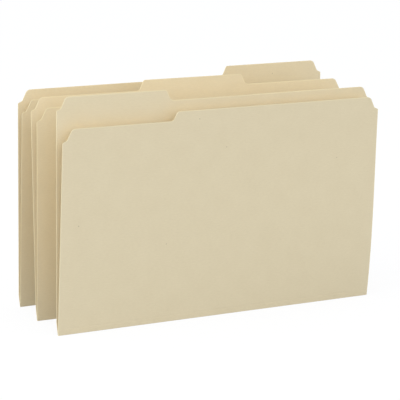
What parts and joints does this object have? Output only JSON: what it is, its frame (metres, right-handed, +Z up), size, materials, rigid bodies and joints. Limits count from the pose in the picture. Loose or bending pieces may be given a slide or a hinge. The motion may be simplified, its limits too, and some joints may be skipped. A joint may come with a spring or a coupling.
{
  "type": "manila file folder set",
  "caption": "Legal-size manila file folders standing open on their folds one behind another, with stepped cut tabs, undercut front flaps and creased bottoms.",
  "frame": {"origin": "centre of the set's footprint, on the surface that its folds stand on", "axes": "+X along the folds to the viewer's right, +Y to the back of the set, +Z up"},
  "size_m": [0.3858, 0.1316, 0.2408],
  "materials": {
    "manila_card": "matte uncoated card"
  },
  "bodies": {
    "front_folder_front_flap": {"front_folder_front_flap": "manila_card"},
    "front_folder_bottom_strip": {"front_folder_bottom_strip": "manila_card"},
    "front_folder_back_flap": {"front_folder_back_flap": "manila_card"},
    "middle_folder_front_flap": {"middle_folder_front_flap": "manila_card"},
    "middle_folder_bottom_strip": {"middle_folder_bottom_strip": "manila_card"},
    "middle_folder_back_flap": {"middle_folder_back_flap": "manila_card"},
    "rear_folder_front_flap": {"rear_folder_front_flap": "manila_card"},
    "rear_folder_bottom_strip": {"rear_folder_bottom_strip": "manila_card"},
    "rear_folder_back_flap": {"rear_folder_back_flap": "manila_card"}
  },
  "joints": [
    {"name": "front_folder_lift", "type": "slide", "parent": "middle_folder_back_flap", "child": "front_folder_back_flap", "axis": [0, 0, 1], "range_m": [0, 0.26]},
    {"name": "front_folder_score", "type": "hinge", "parent": "front_folder_back_flap", "child": "front_folder_bottom_strip", "pos_m": [-0.0056, -0.05543, 0.01224], "axis": [1, 0, 0], "range_deg": [0, 14.7]},
    {"name": "front_folder_fold", "type": "hinge", "parent": "front_folder_bottom_strip", "child": "front_folder_front_flap", "pos_m": [-0.0056, -0.05893, 0.00003], "axis": [1, 0, 0], "range_deg": [-3.6, 83.5]},
    {"name": "middle_folder_score", "type": "hinge", "parent": "middle_folder_back_flap", "child": "middle_folder_bottom_strip", "pos_m": [-0.00103, -0.00183, 0.01224], "axis": [0.9997, -0.0227, 0], "range_deg": [0, 2.5]},
    {"name": "middle_folder_fold", "type": "hinge", "parent": "middle_folder_bottom_strip", "child": "middle_folder_front_flap", "pos_m": [-0.00111, -0.00533, 0.00003], "axis": [0.9997, -0.0227, 0], "range_deg": [-3.5, 8]},
    {"name": "rear_folder_lift", "type": "slide", "parent": "middle_folder_back_flap", "child": "rear_folder_front_flap", "axis": [0, 0, 1], "range_m": [0, 0.26]},
    {"name": "rear_folder_fold", "type": "hinge", "parent": "rear_folder_front_flap", "child": "rear_folder_bottom_strip", "pos_m": [0.0056, 0.05597, 0.00003], "axis": [-1, -0.007, 0], "range_deg": [-2.3, 74]},
    {"name": "rear_folder_score", "type": "hinge", "parent": "rear_folder_bottom_strip", "child": "rear_folder_back_flap", "pos_m": [0.00557, 0.05947, 0.01224], "axis": [-1, -0.007, 0], "range_deg": [0, 14.8]}
  ]
}
